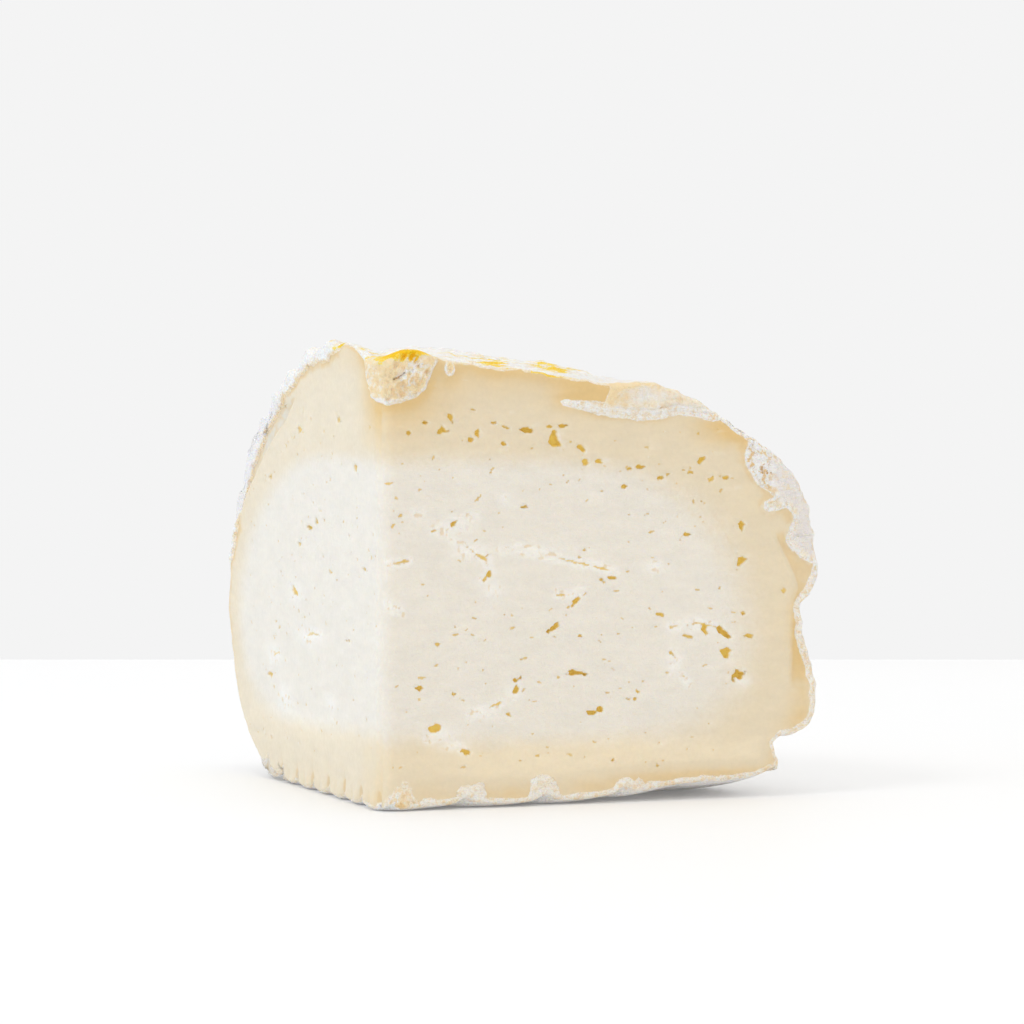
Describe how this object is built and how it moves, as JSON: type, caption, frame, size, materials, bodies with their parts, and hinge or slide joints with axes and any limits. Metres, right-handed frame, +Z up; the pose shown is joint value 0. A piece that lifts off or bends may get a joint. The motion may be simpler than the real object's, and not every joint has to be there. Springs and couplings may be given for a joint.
{
  "type": "soft-ripened cheese wedge",
  "caption": "Quarter wedge of a tall soft-ripened cheese wheel, with a chalky core, a creamy band under a wrinkled white bloomy rind, and flat knife-cut faces.",
  "frame": {"origin": "centre of the bottom of the wedge's box, on the surface it stands on", "axes": "+Z up along the axis of the wheel it was cut from; one cut face faces -Y and the other faces -X, and the outer rind bulges towards +X and +Y"},
  "size_m": [0.1074, 0.112, 0.1038],
  "materials": {
    "paste": "soft, slightly moist cut cheese, chalky in the middle and creamy towards the rind",
    "rind": "dry, wrinkled white mould rind with cream and ochre tints"
  },
  "bodies": {
    "root": {"cheese_wedge": "paste"}
  },
  "joints": []
}
